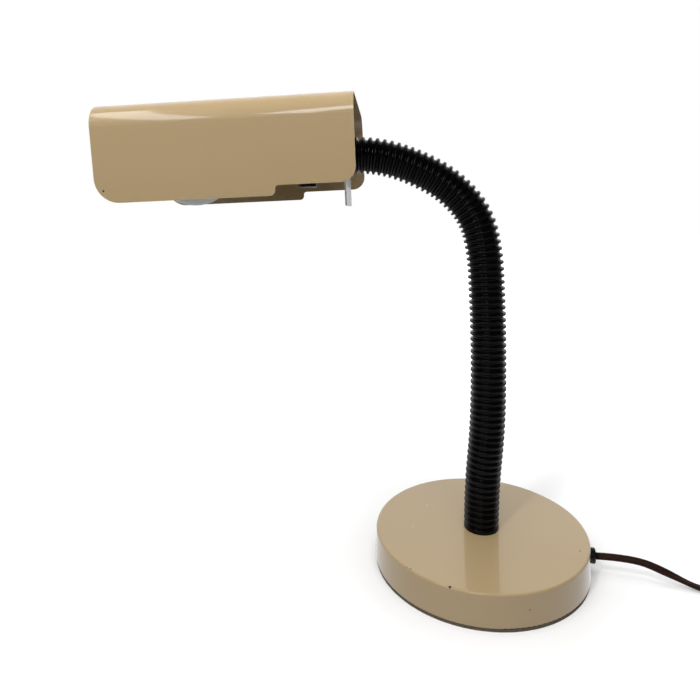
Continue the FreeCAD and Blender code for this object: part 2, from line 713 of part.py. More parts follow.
def end_bracket():
    """The plate that joins neck and shade: flange under the top, tab below the shade's edge."""
    front, back = -BRACKET_INSET, -BRACKET_INSET - BRACKET_THICKNESS
    top = SHADE_HEIGHT - SHADE_WALL
    under = top - BRACKET_THICKNESS
    end = back - BRACKET_FLANGE
    profile = rounded([(front, -BRACKET_DROP), (front, top, BRACKET_BEND), (end, top), (end, under),
                       (back, under, BRACKET_BEND - BRACKET_THICKNESS), (back, -BRACKET_DROP)])
    plate = moved(profile.extrude(Vector(0, BRACKET_WIDTH, 0)), 0, -BRACKET_WIDTH / 2)
    corners = [e for e in plate.Edges if all(v.Z < MARGIN - BRACKET_DROP for v in e.Vertexes)
               and round(abs(e.tangentAt(0).x)) == 1]
    plate = plate.makeFillet(BRACKET_CORNER, corners)
    for x, y in rivet_spots():
        hole = disc(RIVET_RADIUS + RIVET_CLEARANCE, under - MARGIN, top + MARGIN)
        plate = plate.cut(moved(hole, x, y))
    stud_hole = placed(disc(STUD_RADIUS + STUD_CLEARANCE, -BRACKET_THICKNESS - MARGIN, MARGIN),
                       Placement(Vector(front, 0, AXIS_HEIGHT), Rotation(Vector(0, 1, 0), 90)))
    return at_head(plate.cut(stud_hole))


def bracket_rivets():
    top = SHADE_HEIGHT
    crown = top + RIVET_HEAD_HEIGHT
    tail = top - SHADE_WALL - BRACKET_THICKNESS
    low = tail - RIVET_TAIL_HEIGHT
    rivet = turned([(0, low), (RIVET_TAIL_RADIUS, low, FINE_EDGE), (RIVET_TAIL_RADIUS, tail),
                    (RIVET_RADIUS, tail), (RIVET_RADIUS, top), (RIVET_HEAD_RADIUS, top),
                    (RIVET_HEAD_RADIUS, crown, RIVET_HEAD_ROUNDING), (0, crown)])
    return at_head(Part.makeCompound([moved(rivet, x, y) for x, y in rivet_spots()]))


def neck_top_fitting():
    stud = SOCKET_START + CAP_HUB
    return on_axis(moved(fitting(COLLAR_RADIUS, COLLAR_LENGTH, TOP_PLUG_LENGTH, stud),
                         0, 0, -COLLAR_LENGTH))


def top_washer():
    return on_axis(ring(STUD_RADIUS + STUD_CLEARANCE, WASHER_RADIUS, BRACKET_THICKNESS,
                        BRACKET_THICKNESS + WASHER_THICKNESS))


def top_nut():
    start = BRACKET_THICKNESS + WASHER_THICKNESS
    return on_axis(hex_nut(NUT_FLATS, STUD_RADIUS + STUD_CLEARANCE / 2, start, start + NUT_THICKNESS))


def socket_cap():
    bore = STUD_RADIUS + STUD_CLEARANCE / 2
    hub = STUD_RADIUS + CAP_HUB_WALL
    inner = CAP_RADIUS - CAP_WALL
    shoulder = SOCKET_START + CAP_SHOULDER
    end = SOCKET_START + CAP_LENGTH
    return on_axis(turned([(bore, SOCKET_START), (hub, SOCKET_START, SMALL_EDGE),
                           (CAP_RADIUS, shoulder, CAP_ROUNDING), (CAP_RADIUS, end), (inner, end),
                           (inner, shoulder + CAP_WALL, CAP_ROUNDING - CAP_WALL),
                           (hub, SOCKET_START + CAP_HUB), (bore, SOCKET_START + CAP_HUB)]))


def shaft_hole(radius):
    return on_shaft(disc(radius, SHAFT_START + SHAFT_RADIUS, KNOB_START))


def socket_shell():
    start = SOCKET_START + CAP_LENGTH - CAP_OVERLAP
    lip_end = start + CAP_OVERLAP
    inner = SHELL_RADIUS - SHELL_WALL
    bead = SHELL_RADIUS + SHELL_BEAD
    bead_start = SHELL_END - SHELL_BEAD_LENGTH
    shell = turned([(inner, start), (bead, start), (bead, lip_end, FINE_EDGE),
                    (SHELL_RADIUS, lip_end + SHELL_BEAD), (SHELL_RADIUS, bead_start - SHELL_BEAD),
                    (bead, bead_start, FINE_EDGE), (bead, SHELL_END, FINE_EDGE), (inner, SHELL_END)])
    return on_axis(shell).cut(shaft_hole(SHAFT_HOLE))


def socket_liner():
    liner = ring(LINER_RADIUS - LINER_WALL, LINER_RADIUS, CORE_START, SHELL_END - LINER_SETBACK)
    return on_axis(liner).cut(shaft_hole(SHAFT_HOLE))


def socket_core():
    """The insulating body with the switch in it: a channel for each wire and a bore for the shaft."""
    end = CORE_START + CORE_LENGTH
    core = turned([(0, CORE_START), (CORE_RADIUS, CORE_START, SMALL_EDGE), (CORE_RADIUS, end),
                   (0, end)])
    for side in (-1, 1):
        channel = Part.makeBox(CHANNEL_WIDTH, 2 * CHANNEL_DEPTH, CORE_LENGTH + 2 * MARGIN,
                               Vector(-CHANNEL_WIDTH / 2, side * CORE_RADIUS - CHANNEL_DEPTH,
                                      CORE_START - MARGIN))
        core = core.cut(channel)
    bore = on_shaft(disc(SHAFT_RADIUS + SHAFT_FIT, SHAFT_START, CORE_RADIUS + MARGIN))
    return on_axis(core).cut(bore)


def screw_shell():
    start = CORE_START + CORE_LENGTH
    end = start + SCREW_SHELL_LENGTH
    inner = SCREW_SHELL_RADIUS - SCREW_SHELL_WALL
    lip = SCREW_SHELL_RADIUS - SCREW_SHELL_LIP
    return on_axis(turned([(lip, start), (SCREW_SHELL_RADIUS, start, FINE_EDGE),
                           (SCREW_SHELL_RADIUS, end), (inner, end), (inner, start + SCREW_SHELL_WALL),
                           (lip, start + SCREW_SHELL_WALL)]))


def centre_contact():
    """A spring strip from the core's face to the bulb's contact."""
    start, thick = CORE_START + CORE_LENGTH, CONTACT_THICKNESS
    end = BULB_CONTACT_START
    strip = rounded([(-CONTACT_FOOT, start), (CONTACT_HEEL, start, LARGE_EDGE),
                     (CONTACT_INSET - CONTACT_KNEE, end - CONTACT_INSET, LARGE_EDGE),
                     (CONTACT_TIP, end - 2 * thick, SMALL_EDGE), (CONTACT_TIP, end),
                     (-CONTACT_KNEE, end, LARGE_EDGE),
                     (CONTACT_HEEL - 2 * thick, start + thick, SMALL_EDGE),
                     (-CONTACT_FOOT, start + thick)])
    return on_axis(moved(strip.extrude(Vector(0, CONTACT_WIDTH, 0)), 0, -CONTACT_WIDTH / 2))


def head_lead():
    return on_axis(disc(CORD_RADIUS, -COLLAR_LENGTH - TOP_PLUG_LENGTH, CORE_START))


def switch_shaft():
    return on_shaft(disc(SHAFT_RADIUS, SHAFT_START, KNOB_START + KNOB_DEPTH))


def switch_knob():
    """A fluted knob with a blind hole on the shaft."""
    end = KNOB_START + KNOB_LENGTH
    dish = end - KNOB_DISH_DEPTH
    knob = turned([(0, KNOB_START), (KNOB_RADIUS, KNOB_START, SMALL_EDGE),
                   (KNOB_RADIUS, end, KNOB_ROUNDING), (KNOB_DISH_RADIUS, end, FINE_EDGE),
                   (KNOB_DISH_RADIUS - KNOB_DISH_DEPTH, dish), (0, dish)])
    flute = disc(KNOB_FLUTE_RADIUS, KNOB_START - MARGIN, end - KNOB_FLUTE_STOP)
    reach = KNOB_RADIUS + KNOB_FLUTE_RADIUS - KNOB_FLUTE_DEPTH
    for k in range(KNOB_FLUTES):
        angle = 2 * math.pi * k / KNOB_FLUTES
        knob = knob.cut(moved(flute, reach * math.cos(angle), reach * math.sin(angle)))
    return on_shaft(knob.cut(disc(SHAFT_RADIUS, KNOB_START - MARGIN, KNOB_START + KNOB_DEPTH)))


# Bulb
def globe_profile(radius, neck, blend, low):
    """Edges from the globe's tip to its neck's end: a sphere, a hollow blend and a short neck."""
    across = neck + blend
    drop = math.sqrt((radius + blend) ** 2 - across ** 2)
    share = radius / (radius + blend)
    meet = Vector(across * share, 0, BULB_CENTRE - drop * share)
    tip = Vector(0, 0, BULB_CENTRE + radius)
    side = Vector(radius, 0, BULB_CENTRE)
    low_centre = Vector(across, 0, BULB_CENTRE - drop)
    neck_top = Vector(neck, 0, BULB_CENTRE - drop)
    toward = ((meet - low_centre) + (neck_top - low_centre)).normalize()
    return [Part.Arc(tip, side, meet).toShape(),
            Part.Arc(meet, low_centre + toward * blend, neck_top).toShape(),
            Part.LineSegment(neck_top, Vector(neck, 0, low)).toShape()]


def bulb_glass():
    outer = globe_profile(BULB_RADIUS, BULB_NECK_RADIUS, BULB_NECK_BLEND, BULB_BASE_END)
    inner = globe_profile(BULB_RADIUS - GLASS_WALL, BULB_NECK_RADIUS - GLASS_WALL,
                          BULB_NECK_BLEND + GLASS_WALL, BULB_BASE_END)
    low_edge = Part.LineSegment(Vector(BULB_NECK_RADIUS, 0, BULB_BASE_END),
                                Vector(BULB_NECK_RADIUS - GLASS_WALL, 0, BULB_BASE_END)).toShape()
    tip_edge = Part.LineSegment(Vector(0, 0, BULB_CENTRE + BULB_RADIUS - GLASS_WALL),
                                Vector(0, 0, BULB_CENTRE + BULB_RADIUS)).toShape()
    wire = Part.Wire(Part.__sortEdges__(outer + inner + [low_edge, tip_edge]))
    return on_axis(Part.Face(wire).revolve(Vector(), UP, 360))


def bulb_base():
    """The screw cap, with a ridge for each turn of its thread."""
    root = BULB_BASE_RADIUS - THREAD_DEPTH
    first = BULB_BASE_START + SMALL_EDGE
    corners = [(0, BULB_BASE_START), (root - SMALL_EDGE, BULB_BASE_START)]
    for k in range(THREAD_TURNS):
        low = first + k * THREAD_PITCH
        corners += [(root, low), (BULB_BASE_RADIUS, low + THREAD_PITCH / 2, THREAD_ROUNDING)]
    corners += [(root, first + THREAD_TURNS * THREAD_PITCH),
                (BULB_BASE_RADIUS, BULB_BASE_END - BULB_COLLAR, FINE_EDGE),
                (BULB_BASE_RADIUS, BULB_BASE_END), (0, BULB_BASE_END)]
    return on_axis(turned(corners))


def bulb_contact():
    """The contact and the insulator that carries it under the screw cap."""
    start = BULB_CONTACT_START
    return on_axis(turned([(0, start), (BULB_CONTACT_RADIUS, start, FINE_EDGE),
                           (BULB_CONTACT_RADIUS, start + SMALL_EDGE),
                           (BULB_INSULATOR_RADIUS, BULB_BASE_START), (0, BULB_BASE_START)]))


PIECES = [base_pad, base_cover, base_weight, neck_foot, foot_washer, foot_nut, strain_relief,
          base_lead, cord_run, cord_coil, cord_tail, cord_tie, plug_body, plug_blades, shade,
          end_bracket, bracket_rivets, neck_top_fitting, top_washer, top_nut, head_lead, socket_cap,
          socket_shell, socket_liner, socket_core, screw_shell, centre_contact, switch_shaft,
          switch_knob, bulb_glass, bulb_base, bulb_contact]


def save(name, shape):
    if not shape.isValid() or not shape.Solids:
        print("BAD", name, shape.isValid(), len(shape.Solids))
    shape.exportStep(f"parts/{name}.step")


def main():
    os.makedirs("parts", exist_ok=True)
    for piece in PIECES:
        save(piece.__name__, piece())
    for number, length in enumerate(NECK, 1):
        save(f"sleeve_{number:02d}", sleeve(number, length))
        save(f"conduit_{number:02d}", conduit(number, length))
    print("neck ends at", NECK_END, "heading", round(math.degrees(NECK_END_HEADING), 2))


main()
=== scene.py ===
import math

import bpy
from mathutils import Matrix, Vector


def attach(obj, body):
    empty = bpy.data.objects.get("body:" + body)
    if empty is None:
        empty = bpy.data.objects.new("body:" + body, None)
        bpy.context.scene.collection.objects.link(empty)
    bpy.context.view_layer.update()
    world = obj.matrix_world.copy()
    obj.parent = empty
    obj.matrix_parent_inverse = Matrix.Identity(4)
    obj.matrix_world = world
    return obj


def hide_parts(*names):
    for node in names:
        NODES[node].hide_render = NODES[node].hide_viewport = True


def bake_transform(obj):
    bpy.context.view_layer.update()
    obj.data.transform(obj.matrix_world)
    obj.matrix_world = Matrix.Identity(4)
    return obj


# Gooseneck desk lamp in metres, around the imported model. Z is up, the shade points towards -X and
# the camera looks along +Y. Sizes that the construction sets are repeated here with its names. The
# sleeve's valleys and the bush's flange are finer here, closer to the photograph.

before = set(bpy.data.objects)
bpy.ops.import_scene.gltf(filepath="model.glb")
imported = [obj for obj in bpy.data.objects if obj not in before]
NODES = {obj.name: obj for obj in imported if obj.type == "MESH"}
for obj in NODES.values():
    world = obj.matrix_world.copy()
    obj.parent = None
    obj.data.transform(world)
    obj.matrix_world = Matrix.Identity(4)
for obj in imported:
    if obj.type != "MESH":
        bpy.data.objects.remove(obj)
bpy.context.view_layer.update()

MM = 0.001

# Camera, in pixels of the 700 x 700 photograph where it says so
PHOTO_SIDE = 700
FOCAL_PIXELS = 561.6
CENTRE_PIXEL = (348.5, 276.3)
SENSOR = 36.0
CAMERA_PLACE = Vector((-0.0853, -0.5364, 0.3452))
CAMERA_YAW = 4.33
CAMERA_PITCH = 6.42
CAMERA_ROLL = -1.086

# Base
BASE_RADIUS = 103.0 * MM
BASE_DRAFT = 0.9 * MM
BASE_HEIGHT = 32.8 * MM
PAD_THICKNESS = 2.7 * MM
COVER_WALL = 1.2 * MM

# Neck
NECK_X = 2.0 * MM
RING_PITCH = 6.05 * MM
RINGS_PER_LENGTH = 6
LAST_LENGTH_RINGS = 7
NECK_TURNS = [-2, -3, 3, 2, 1, 1.5, 0.5, 10, 28, 19, 11.5]
SHADE_TILT = 1.46
RING_RADIUS = 17.0 * MM
VALLEY_RADIUS = 14.3 * MM
CREST_WIDTH = 2.0 * MM
VALLEY_WIDTH = 1.7 * MM
SLEEVE_INNER_RADIUS = 12.9 * MM
CREST_ROUNDING = 1.0 * MM
VALLEY_ROUNDING = 0.6 * MM
RING_SIDES = 72

# Cord
CORD_EXIT_HEIGHT = 19.5 * MM
CORD_EXIT_ANGLE = -13.0
RUN_START = 33.0 * MM
CORD_RADIUS = 3.1 * MM
BUSH_RADIUS = 7.1 * MM
BUSH_LENGTH = 4.1 * MM
BUSH_NECK_RADIUS = 5.9 * MM
BUSH_INNER_RADIUS = 7.2 * MM
BUSH_INNER_LENGTH = 5.0 * MM
BUSH_CLEARANCE = 0.1 * MM
BUSH_EDGE = 1.5 * MM
BUSH_EDGE_STEPS = 6
BUSH_LIP = 0.5 * MM
BUSH_STEP = 0.2 * MM
BUSH_BEVEL = 0.3 * MM
BUSH_BACK_EDGE = 1.0 * MM
BUSH_COVER_GAP = 0.02 * MM
BUSH_SIDES = 64
# The slot's edge: distance behind the bush's front and margin round the cord
SLOT_EDGE = [(0.0 * MM, 0.9 * MM), (0.1 * MM, 0.4 * MM), (0.35 * MM, 0.15 * MM)]
SLOT_MARGIN = 0.12 * MM
SLOT_FLOOR = 0.05 * MM
COIL_RADIUS = 51.6 * MM
COIL_PITCH = 7.0 * MM
COIL_TURNS_IN = 3.25
COIL_TURNS = 6.25
COIL_CLIMB_TURNS = 0.5
TAIL_RUNS = (16.0 * MM, 20.0 * MM, 18.0 * MM)
CORD_LOBE_RADIUS = 1.75 * MM
CORD_LOBE_REACH = 1.65 * MM
CORD_LOBE_SWEEP = 140.0
CORD_LOBE_STEPS = 10
CORD_STEPS = 8
CORD_WIDTH = 2 * (CORD_LOBE_RADIUS + CORD_LOBE_REACH)
UPRIGHT_RUN = 38.0 * MM
TWIST_RUN = 46.0 * MM
FLAT_HEIGHT = CORD_LOBE_RADIUS + 0.1 * MM
COIL_HEIGHT = CORD_LOBE_RADIUS + 0.8 * MM
FLAT_LAYER = 2 * CORD_LOBE_RADIUS + 0.1 * MM
COIL_POINTS_PER_TURN = 16

# Plug outline in millimetres from its cord side: (distance, half width, half height)
PLUG_HEIGHT = 15.0 * MM
PLUG_SIDES = 64
PLUG_SQUARENESS = 0.45
PLUG_START = [(-0.2, 3.6, 2.4), (0.0, 4.4, 3.2), (0.8, 5.2, 3.9)]
PLUG_RIB = [(0.0, 5.3, 4.1), (0.9, 5.4, 4.2), (1.15, 4.7, 3.5), (1.75, 4.8, 3.6)]
PLUG_RIBS = 4
PLUG_RIB_START = 1.4
PLUG_RIB_PITCH = 2.0
PLUG_RIB_GROWTH = (0.55, 0.44)
PLUG_WAIST = [(10.2, 8.2, 6.0), (11.5, 10.2, 6.7), (13.0, 11.4, 7.0)]
PLUG_RIDGE = [(0.0, 11.6, 7.05), (0.35, 11.1, 6.75), (1.0, 11.0, 6.7), (1.35, 11.6, 7.05)]
PLUG_RIDGES = 4
PLUG_RIDGE_START = 14.0
PLUG_RIDGE_PITCH = 2.4
PLUG_FRONT = [(24.0, 11.7, 7.1), (24.3, 12.3, 7.45), (26.4, 12.4, 7.5), (26.85, 12.1, 7.2),
              (27.0, 11.6, 6.8), (27.0, 6.0, 3.4), (27.0, 0.3, 0.2)]

# Tie, with its ends measured outwards from the coil's inner side
TIE_ANGLE = -100.0
TIE_WIDTH = 8.0 * MM
TIE_THICKNESS = 0.6 * MM
TIE_ROOM = 0.6 * MM
TIE_BEND = 1.6 * MM
TIE_BEND_STEPS = 6
TIE_LOW = 0.7 * MM
TIE_LIFT = 0.4 * MM
TIE_UNDER_END = 8.0 * MM
TIE_OVER_START = 6.0 * MM
TIE_OVER_STEP = 5.0 * MM
TIE_OVER_END = -1.5 * MM

# Surroundings: shares of white, and distances from the base's axis in metres
FLOOR_REACH = 6.0
FLOOR_BOUNCE = 0.25
FLOOR_SHADE = 0.85
GLOW_NEAR = 0.11
GLOW_START = 0.12
GLOW_END = 0.7
MIRROR_START = 0.16
MIRROR_END = 0.36
MIRROR_FAR = 0.4
AMBIENT = 0.47
ROOM_FRONT = 0.0
ROOM_START = 0.0
ROOM_END = 0.6
WHITE = (1, 1, 1, 1)

UP = Vector((0, 0, 1))


# Materials
def srgb(red, green, blue):
    """A linear colour from 0-255 screen values."""
    def linear(value):
        share = value / 255
        return share / 12.92 if share <= 0.04045 else ((share + 0.055) / 1.055) ** 2.4
    return (linear(red), linear(green), linear(blue), 1.0)


class Finish:
    """A Principled material whose nodes are added by name."""

    def __init__(self, name, colour, roughness, metallic=0.0, coat=0.0, specular=0.5):
        self.material = bpy.data.materials.new(name)
        self.material.use_nodes = True
        self.tree = self.material.node_tree
        self.shader = self.tree.nodes["Principled BSDF"]
        self.shader.inputs["Base Color"].default_value = colour
        self.shader.inputs["Roughness"].default_value = roughness
        self.shader.inputs["Metallic"].default_value = metallic
        self.shader.inputs["Coat Weight"].default_value = coat
        self.shader.inputs["Specular IOR Level"].default_value = specular
        self.colour = colour
        self.place = self.node("ShaderNodeTexCoord").outputs["Object"]

    def node(self, kind, **values):
        made = self.tree.nodes.new(kind)
        for key, value in values.items():
            setattr(made, key, value)
        return made

    def link(self, source, target):
        self.tree.links.new(source, target)

    def noise(self, scale, detail):
        """A noise value over the surface, with so many features to the metre."""
        made = self.node("ShaderNodeTexNoise")
        made.inputs["Scale"].default_value = scale
        made.inputs["Detail"].default_value = detail
        self.link(self.place, made.inputs["Vector"])
        return made.outputs["Fac"]

    def spread(self, value, low, high, start=0.35, end=0.65):
        """A value between start and end stretched to run from low to high."""
        made = self.node("ShaderNodeMapRange")
        made.inputs["From Min"].default_value = start
        made.inputs["From Max"].default_value = end
        made.inputs["To Min"].default_value = low
        made.inputs["To Max"].default_value = high
        self.link(value, made.inputs["Value"])
        return made.outputs["Result"]

    def tint(self, share, colour):
        """Mixes another colour in by a share, over what the colour already is."""
        made = self.node("ShaderNodeMix", data_type="RGBA")
        target = self.shader.inputs["Base Color"]
        if target.links:
            self.link(target.links[0].from_socket, made.inputs["A"])
        else:
            made.inputs["A"].default_value = self.colour
        made.inputs["B"].default_value = colour
        self.link(share, made.inputs["Factor"])
        self.link(made.outputs["Result"], target)

    def speck(self, place, radius, colour):
        """A ragged spot of another colour about a place of the surface."""
        ragged = self.node("ShaderNodeVectorMath", operation="MULTIPLY_ADD")
        ragged.inputs[1].default_value = (radius, radius, radius)
        ragged.inputs[2].default_value = Vector(place) * -1 - Vector((radius, radius, radius)) / 2
        swirl = self.node("ShaderNodeTexNoise")
        swirl.inputs["Scale"].default_value = 0.8 / radius
        self.link(self.place, swirl.inputs["Vector"])
        self.link(swirl.outputs["Color"], ragged.inputs[0])
        offset = self.node("ShaderNodeVectorMath", operation="ADD")
        self.link(self.place, offset.inputs[0])
        self.link(ragged.outputs["Vector"], offset.inputs[1])
        distance = self.node("ShaderNodeVectorMath", operation="LENGTH")
        self.link(offset.outputs["Vector"], distance.inputs[0])
        self.tint(self.spread(distance.outputs["Value"], 1, 0, radius * 0.7, radius), colour)

    def vary(self, socket, value):
        self.link(value, self.shader.inputs[socket])

    def bump(self, height, distance):
        """Adds a bump of so many metres over what the normal already is."""
        made = self.node("ShaderNodeBump")
        made.inputs["Distance"].default_value = distance
        self.link(height, made.inputs["Height"])
        target = self.shader.inputs["Normal"]
        if target.links:
            self.link(target.links[0].from_socket, made.inputs["Normal"])
        self.link(made.outputs["Normal"], target)


def tan_paint(name, specks):
    """Glossy enamel with a fine orange peel, and (place, radius, colour) chips and specks."""
    made = Finish(name, srgb(170, 148, 112), 0.35, coat=0.8, specular=0.2)
    made.shader.inputs["Coat Roughness"].default_value = 0.06
    made.tint(made.spread(made.noise(9, 1), 0, 0.4, 0.2, 0.8), srgb(165, 142, 105))
    made.vary("Roughness", made.spread(made.noise(60, 4), 0.33, 0.36))
    made.bump(made.noise(700, 1), 0.000015)
    for place, radius, colour in specks:
        made.speck(place, radius, colour)
    return made.material


def sleeve_vinyl():
    made = Finish("sleeve_vinyl", srgb(4, 4, 6), 0.2, specular=0.19)
    made.tint(made.spread(made.noise(220, 3), 0, 0.6), srgb(8, 8, 10))
    made.vary("Roughness", made.spread(made.noise(160, 3), 0.14, 0.22))
    made.bump(made.noise(1500, 2), 0.00001)
    return made.material


def cord_jacket():
    made = Finish("cord_jacket", srgb(46, 25, 19), 0.4, specular=0.14)
    made.tint(made.spread(made.noise(300, 4), 0, 0.7), srgb(38, 21, 16))
    made.vary("Roughness", made.spread(made.noise(200, 3), 0.34, 0.5))
    made.bump(made.noise(1800, 3), 0.00003)
    return made.material


def black_plastic(name, roughness, specular):
    made = Finish(name, srgb(10, 10, 11), roughness, specular=specular)
    made.tint(made.spread(made.noise(400, 4), 0, 0.6), srgb(16, 16, 17))
    made.bump(made.noise(2500, 3), 0.00002)
    return made.material


def grey_bracket():
    made = Finish("bracket_paint", srgb(196, 196, 195), 0.35, coat=0.2)
    made.tint(made.spread(made.noise(50, 5), 0, 0.5), srgb(180, 180, 179))
    made.bump(made.noise(1200, 3), 0.00003)
    return made.material


def metal(name, colour, other, roughness, grain=400):
    made = Finish(name, colour, roughness, metallic=1.0)
    made.tint(made.spread(made.noise(grain / 4, 4), 0, 0.6), other)
    made.vary("Roughness", made.spread(made.noise(grain, 4), roughness * 0.8, roughness * 1.3))
    made.bump(made.noise(grain * 3, 3), 0.00003)
    return made.material


def matte(name, colour, other, roughness, grain=500, height=0.00008):
    made = Finish(name, colour, roughness)
    made.tint(made.spread(made.noise(grain / 3, 5), 0, 0.8), other)
    made.bump(made.noise(grain * 2, 4), height)
    return made.material


def opal_glass():
    made = Finish("opal_glass", srgb(240, 241, 237), 0.22, coat=0.5)
    made.shader.inputs["Subsurface Weight"].default_value = 0.3
    made.shader.inputs["Subsurface Scale"].default_value = 0.004
    made.tint(made.spread(made.noise(30, 2), 0, 0.3), srgb(232, 233, 231))
    made.bump(made.noise(300, 2), 0.00002)
    return made.material


CHIP = srgb(44, 38, 32)
STAIN = srgb(120, 101, 76)
PALE = srgb(184, 165, 130)
BASE_PAINT = tan_paint("base_paint", [
    ((-0.0386, -0.0935, 0.0325), 0.0013, CHIP), ((-0.0704, -0.0713, 0.0328), 0.0010, STAIN),
    ((-0.0740, -0.0690, 0.0328), 0.0008, STAIN), ((0.0854, -0.0381, 0.0328), 0.0009, CHIP),
    ((0.0259, -0.0992, 0.0184), 0.0009, STAIN), ((-0.0491, 0.0385, 0.0328), 0.0013, PALE),
    ((-0.0657, -0.0029, 0.0328), 0.0012, PALE)])
SHADE_PAINT = tan_paint("shade_paint", [((-0.3239, -0.0785, 0.3672), 0.0011, CHIP)])
VINYL = sleeve_vinyl()
JACKET = cord_jacket()
PLUG_VINYL = matte("plug_vinyl", srgb(54, 31, 24), srgb(42, 24, 19), 0.5, 700, 0.00002)
PLASTIC = black_plastic("black_plastic", 0.38, 0.2)
PHENOLIC = black_plastic("phenolic", 0.16, 0.5)
GREY = grey_bracket()
STEEL = metal("steel", srgb(176, 178, 182), srgb(150, 152, 156), 0.35)
ZINC = metal("zinc", srgb(170, 172, 176), srgb(140, 144, 150), 0.42)
BRASS = metal("brass", srgb(205, 172, 104), srgb(170, 136, 78), 0.32)
IRON = matte("cast_iron", srgb(62, 61, 60), srgb(48, 46, 44), 0.7, 300, 0.0003)
FELT = matte("felt", srgb(94, 84, 70), srgb(106, 95, 80), 0.95, 900, 0.0002)
FIBRE = matte("liner_fibre", srgb(150, 118, 82), srgb(126, 98, 66), 0.8)
STRAP = matte("tie_strap", srgb(26, 26, 27), srgb(40, 40, 41), 0.75, 1200, 0.0001)
GLASS = opal_glass()

NODE_FINISH = {
    "base_pad": FELT, "base_cover": BASE_PAINT, "base_weight": IRON, "neck_foot": ZINC,
    "foot_washer": ZINC, "foot_nut": ZINC, "strain_relief": PLASTIC, "base_lead": JACKET,
    "cord_run": JACKET, "cord_coil": JACKET, "cord_tail": JACKET, "cord_tie": STRAP,
    "plug_body": JACKET, "plug_blades": BRASS, "shade": SHADE_PAINT, "end_bracket": GREY,
    "bracket_rivets": STEEL, "neck_top_fitting": ZINC, "top_washer": ZINC, "top_nut": ZINC,
    "head_lead": JACKET, "socket_cap": BRASS, "socket_shell": BRASS, "socket_liner": FIBRE,
    "socket_core": PHENOLIC, "screw_shell": BRASS, "centre_contact": BRASS, "switch_shaft": STEEL,
    "switch_knob": PHENOLIC, "bulb_glass": GLASS, "bulb_base": BRASS, "bulb_contact": BRASS,
}


def dress_nodes():
    for name, node in NODES.items():
        kind = name.split("_")[0]
        finish = {"sleeve": VINYL, "conduit": STEEL}.get(kind) or NODE_FINISH[name]
        node.data.materials.clear()
        node.data.materials.append(finish)


# Meshes
def new_piece(name, points, faces, finish):
    mesh = bpy.data.meshes.new(name)
    mesh.from_pydata(points, [], faces)
    for face in mesh.polygons:
        face.use_smooth = True
    mesh.materials.append(finish)
    piece = bpy.data.objects.new(name, mesh)
    bpy.context.scene.collection.objects.link(piece)
    return piece


def sheet_faces(rows, columns, closed_rows=False):
    """Quads over rows of points, each row a closed loop of so many columns."""
    faces = []
    for row in range(rows if closed_rows else rows - 1):
        here, there = row * columns, (row + 1) % rows * columns
        for i in range(columns):
            j = (i + 1) % columns
            faces.append((here + i, here + j, there + j, there + i))
    return faces


def rounded_line(corners, steps=3):
    """Points along a line through (u, v, radius) corners, with an arc at each inner corner."""
    line = [Vector(corners[0][:2])]
    for before, corner, after in zip(corners, corners[1:], corners[2:]):
        spot = Vector(corner[:2])
        back = (Vector(before[:2]) - spot).normalized()
        ahead = (Vector(after[:2]) - spot).normalized()
        half = back.angle(ahead) / 2
        inward = (back + ahead).normalized()
        centre = spot + inward * (corner[2] / math.sin(half))
        start = spot + back * (corner[2] / math.tan(half)) - centre
        end = spot + ahead * (corner[2] / math.tan(half)) - centre
        sweep = start.angle_signed(end)
        for k in range(steps + 1):
            turned = start.copy()
            turned.rotate(Matrix.Rotation(-sweep * k / steps, 2))
            line.append(centre + turned)
    line.append(Vector(corners[-1][:2]))
    return line


# Neck
def neck_lengths():
    """Each rigid length's start, first heading from the vertical, turn and number of rings."""
    turns = NECK_TURNS + [90 + SHADE_TILT - sum(NECK_TURNS)]
    spot, heading, found = Vector((NECK_X, 0, BASE_HEIGHT)), 0.0, []
    for turn in turns:
        rings = LAST_LENGTH_RINGS if len(found) == len(turns) - 1 else RINGS_PER_LENGTH
        found.append((spot, math.radians(heading), math.radians(turn), rings))
        spot = on_arc(found[-1], rings * RING_PITCH)[0]
        heading += turn
    return found


def on_arc(length, along):
    """The centre line's point and heading at a distance along a rigid length."""
    start, heading, turn, rings = length
    curve = turn / (rings * RING_PITCH)
    now = heading + curve * along
    x = start.x + (math.cos(now) - math.cos(heading)) / curve
    z = start.z + (math.sin(now) - math.sin(heading)) / curve
    return Vector((x, 0, z)), now


NECK = neck_lengths()
LENGTHS = len(NECK)
HALF_RINGS = RINGS_PER_LENGTH // 2


def ring_profile():
    """(distance, radius) points of one ring of the sleeve, from one valley's middle to the next."""
    flank = (RING_PITCH - CREST_WIDTH - VALLEY_WIDTH) / 2
    foot = VALLEY_WIDTH / 2
    crest = foot + flank
    return rounded_line([(0, VALLEY_RADIUS, 0), (foot, VALLEY_RADIUS, VALLEY_ROUNDING),
                         (crest, RING_RADIUS, CREST_ROUNDING),
                         (crest + CREST_WIDTH, RING_RADIUS, CREST_ROUNDING),
                         (crest + CREST_WIDTH + flank, VALLEY_RADIUS, VALLEY_ROUNDING),
                         (RING_PITCH, VALLEY_RADIUS, 0)])


def neck_circle(length, along, radius):
    spot, heading = on_arc(length, along)
    out = Vector((math.cos(heading), 0, math.sin(heading)))
    points = []
    for k in range(RING_SIDES):
        angle = 2 * math.pi * k / RING_SIDES
        points.append(spot + (out * math.cos(angle) + Vector((0, math.sin(angle), 0))) * radius)
    return points


